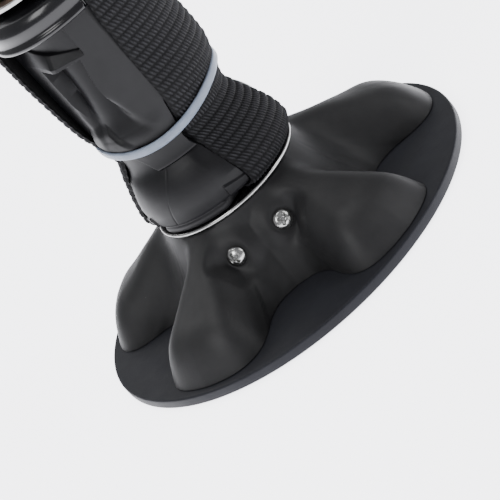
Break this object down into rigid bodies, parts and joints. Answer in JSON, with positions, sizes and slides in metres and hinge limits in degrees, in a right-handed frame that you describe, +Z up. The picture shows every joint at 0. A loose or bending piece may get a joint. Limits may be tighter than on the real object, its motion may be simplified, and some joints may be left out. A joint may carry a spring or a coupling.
{
  "type": "flexible mast foot",
  "caption": "Flexible mast foot: a rubber deck pad under a lobed moulded foot, with a swivelling, bending tendon joint, safety straps and a mast pin on top.",
  "frame": {"origin": "centre of the deck pad's underside", "axes": "+Z up along the joint's axis towards the mast pin, -Y towards the foot's screwed front panel, +X to the right of it"},
  "size_m": [0.14, 0.14, 0.178],
  "materials": {
    "pad_rubber": "matt blue-black rubber",
    "soft_touch": "soft-touch matt charcoal moulding",
    "joint_rubber": "smooth semi-gloss moulded rubber",
    "collar_gloss": "glossy black moulding",
    "nylon": "black glass-filled nylon",
    "acetal": "natural acetal",
    "stainless": "polished stainless steel",
    "bronze": "dull brown bronze",
    "webbing": "ribbed black polyester webbing",
    "silicone": "translucent bluish-white silicone"
  },
  "bodies": {
    "foot": {"base_pad": "pad_rubber", "foot_shell": "soft_touch", "base_plate": "stainless", "plate_screw_1": "stainless", "plate_screw_2": "stainless", "plate_screw_3": "stainless", "plate_screw_4": "stainless", "plate_screw_5": "stainless", "hub_core": "nylon", "centre_bolt": "stainless", "foot_screw_left": "stainless", "foot_screw_right": "stainless", "lower_washer": "stainless", "thrust_washer": "stainless", "lock_nut": "stainless"},
    "lower_joint": {"swivel_bush": "acetal", "lower_end_hub": "nylon", "lower_boot": "joint_rubber", "tendon": "joint_rubber", "silicone_ring": "silicone", "strap_left": "webbing", "strap_right": "webbing"},
    "upper_joint": {"waist_sleeve": "joint_rubber", "window_frame": "joint_rubber", "upper_end_hub": "nylon", "collar": "collar_gloss", "top_washer": "stainless", "pin_stud": "stainless", "mast_pin": "bronze"}
  },
  "joints": [
    {"name": "base_swivel", "type": "hinge", "parent": "foot", "child": "lower_joint", "pos_m": [0, 0, 0.033], "axis": [0, 0, 1], "continuous": true},
    {"name": "tendon_bend", "type": "hinge", "parent": "lower_joint", "child": "upper_joint", "pos_m": [0, 0, 0.0615], "axis": [0.8387, -0.5446, 0], "range_deg": [-50, 50], "stiffness_Nm_per_rad": 6, "deforming": ["tendon", "waist_sleeve", "silicone_ring", "strap_left", "strap_right"]}
  ]
}
